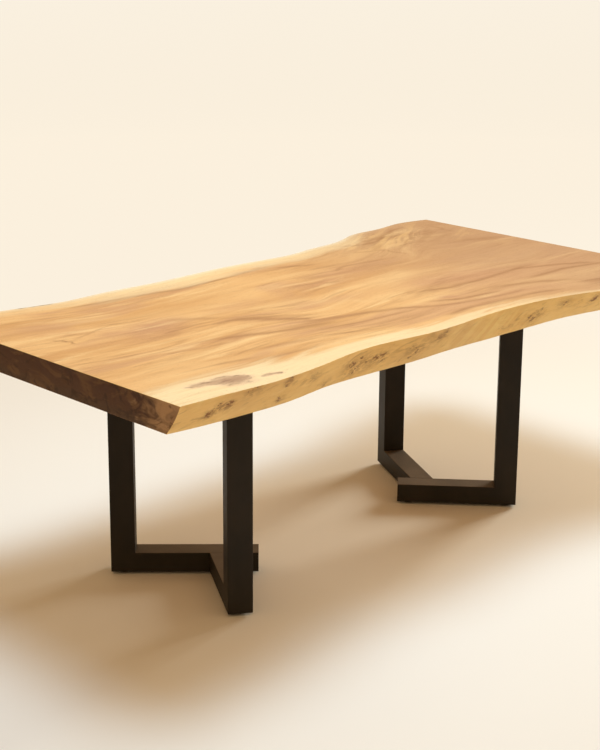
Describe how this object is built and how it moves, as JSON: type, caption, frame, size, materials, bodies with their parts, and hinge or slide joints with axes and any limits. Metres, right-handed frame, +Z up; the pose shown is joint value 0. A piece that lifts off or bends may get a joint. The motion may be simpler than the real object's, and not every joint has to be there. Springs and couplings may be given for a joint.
{
  "type": "live edge dining table",
  "caption": "Dining table with one thick live edge wood slab on two black V-shaped box tube bases with screw-down levelling feet.",
  "frame": {"origin": "on the floor under the middle of the slab's bounding box", "axes": "+X along the table's length, +Y across it, +Z up; the slab's wider live end is at +X and its front edge at -Y"},
  "size_m": [2.13, 1.2398, 0.755],
  "materials": {
    "slab_wood": "oiled satin, honey heartwood with pale sapwood along the live edges",
    "black_steel": "matt black powder coat",
    "zinc_steel": "zinc plated",
    "insert_brass": "plain",
    "foot_plastic": "moulded black"
  },
  "bodies": {
    "table": {"tabletop_slab": "slab_wood", "left_long_arm": "black_steel", "left_branch_arm": "black_steel", "left_long_arm_post": "black_steel", "left_branch_post": "black_steel", "left_end_plate": "black_steel", "left_long_mounting_bar": "black_steel", "left_branch_mounting_bar": "black_steel", "left_bolts": "zinc_steel", "left_washers": "zinc_steel", "left_bushings": "zinc_steel", "left_wood_inserts": "insert_brass", "right_long_arm": "black_steel", "right_branch_arm": "black_steel", "right_long_arm_post": "black_steel", "right_branch_post": "black_steel", "right_end_plate": "black_steel", "right_long_mounting_bar": "black_steel", "right_branch_mounting_bar": "black_steel", "right_bolts": "zinc_steel", "right_washers": "zinc_steel", "right_bushings": "zinc_steel", "right_wood_inserts": "insert_brass"},
    "left_foot_1": {"left_foot_pad_1": "foot_plastic", "left_foot_stud_1": "zinc_steel"},
    "left_foot_2": {"left_foot_pad_2": "foot_plastic", "left_foot_stud_2": "zinc_steel"},
    "left_foot_3": {"left_foot_pad_3": "foot_plastic", "left_foot_stud_3": "zinc_steel"},
    "right_foot_1": {"right_foot_pad_1": "foot_plastic", "right_foot_stud_1": "zinc_steel"},
    "right_foot_2": {"right_foot_pad_2": "foot_plastic", "right_foot_stud_2": "zinc_steel"},
    "right_foot_3": {"right_foot_pad_3": "foot_plastic", "right_foot_stud_3": "zinc_steel"}
  },
  "joints": [
    {"name": "left_foot_1_screw", "type": "slide", "parent": "table", "child": "left_foot_1", "axis": [0, 0, -1], "range_m": [0, 0.01]},
    {"name": "left_foot_2_screw", "type": "slide", "parent": "table", "child": "left_foot_2", "axis": [0, 0, -1], "range_m": [0, 0.01]},
    {"name": "left_foot_3_screw", "type": "slide", "parent": "table", "child": "left_foot_3", "axis": [0, 0, -1], "range_m": [0, 0.01]},
    {"name": "right_foot_1_screw", "type": "slide", "parent": "table", "child": "right_foot_1", "axis": [0, 0, -1], "range_m": [0, 0.01]},
    {"name": "right_foot_2_screw", "type": "slide", "parent": "table", "child": "right_foot_2", "axis": [0, 0, -1], "range_m": [0, 0.01]},
    {"name": "right_foot_3_screw", "type": "slide", "parent": "table", "child": "right_foot_3", "axis": [0, 0, -1], "range_m": [0, 0.01]}
  ]
}
